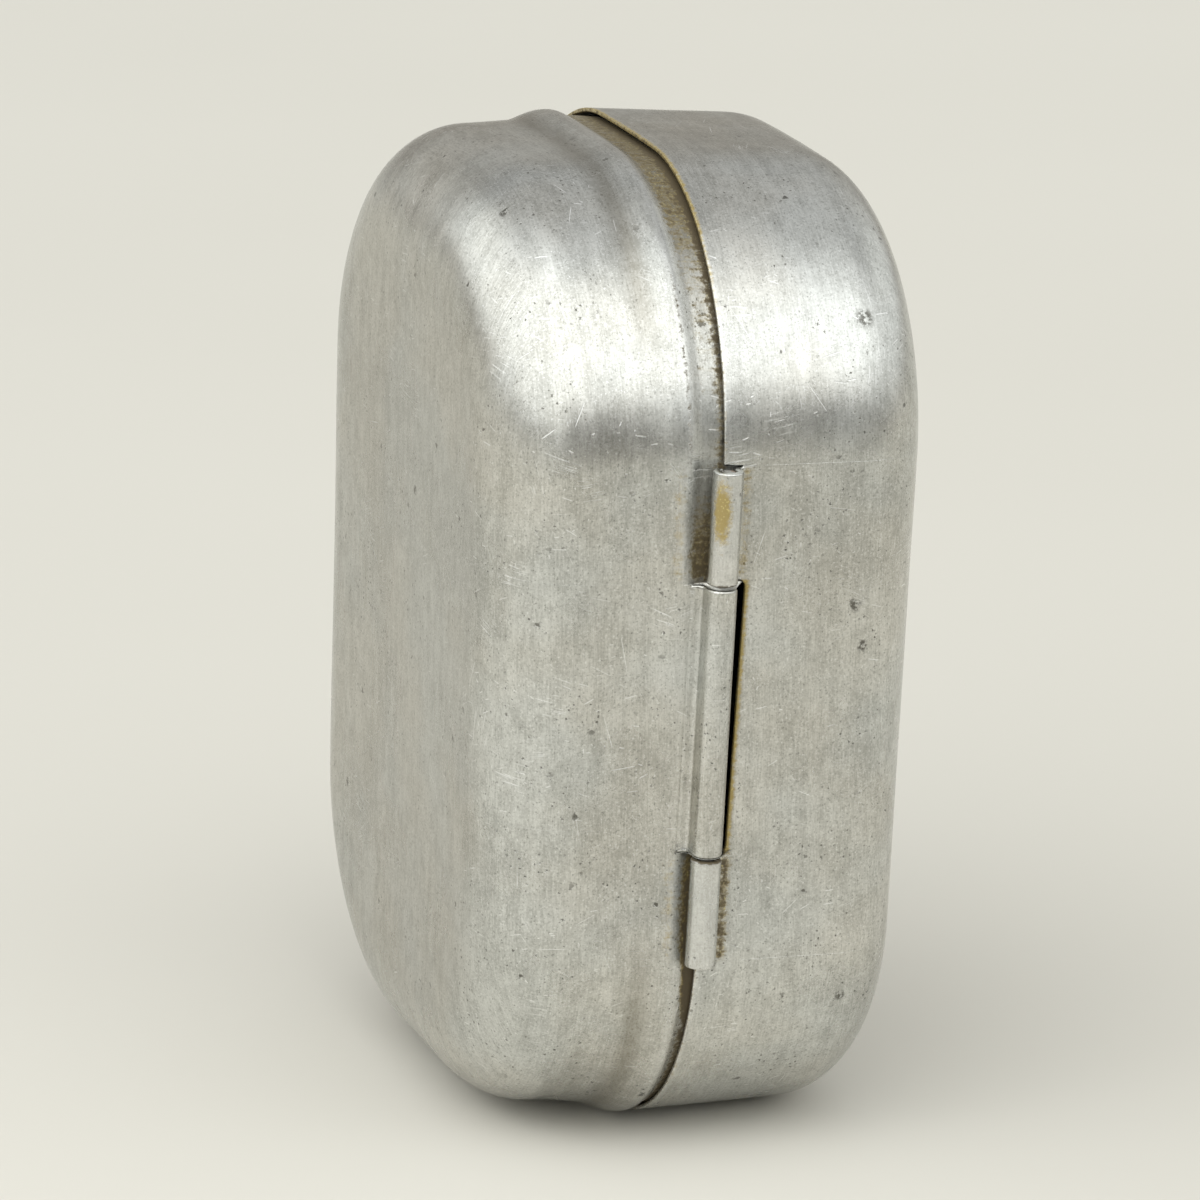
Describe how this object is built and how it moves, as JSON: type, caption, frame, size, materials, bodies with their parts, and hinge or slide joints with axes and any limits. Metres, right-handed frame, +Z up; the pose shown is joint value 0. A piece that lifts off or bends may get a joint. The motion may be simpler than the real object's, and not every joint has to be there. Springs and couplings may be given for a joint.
{
  "type": "soap tin",
  "caption": "Rounded metal soap tin: a deep base and lid of drawn sheet, joined along one long side by a rolled-knuckle hinge, closed by a friction-fit spigot.",
  "frame": {"origin": "on the ground, under the middle of the closed tin's box, with the tin standing on one short end", "axes": "+Z up along the tin's long side, X through its thickness with the base towards -X and the lid towards +X, hinge side facing -Y"},
  "size_m": [0.0468, 0.0728, 0.1],
  "materials": {
    "shell_aluminium": "satin, scratched and worn",
    "pin_steel": "dull drawn wire"
  },
  "bodies": {
    "base": {"base_shell": "shell_aluminium"},
    "lid": {"lid_shell": "shell_aluminium", "hinge_pin": "pin_steel"}
  },
  "joints": [
    {"name": "lid_hinge", "type": "hinge", "parent": "base", "child": "lid", "pos_m": [-0.00162, -0.03483, 0.04772], "axis": [-0.038, 0, -0.9993], "range_deg": [0, 180]}
  ]
}
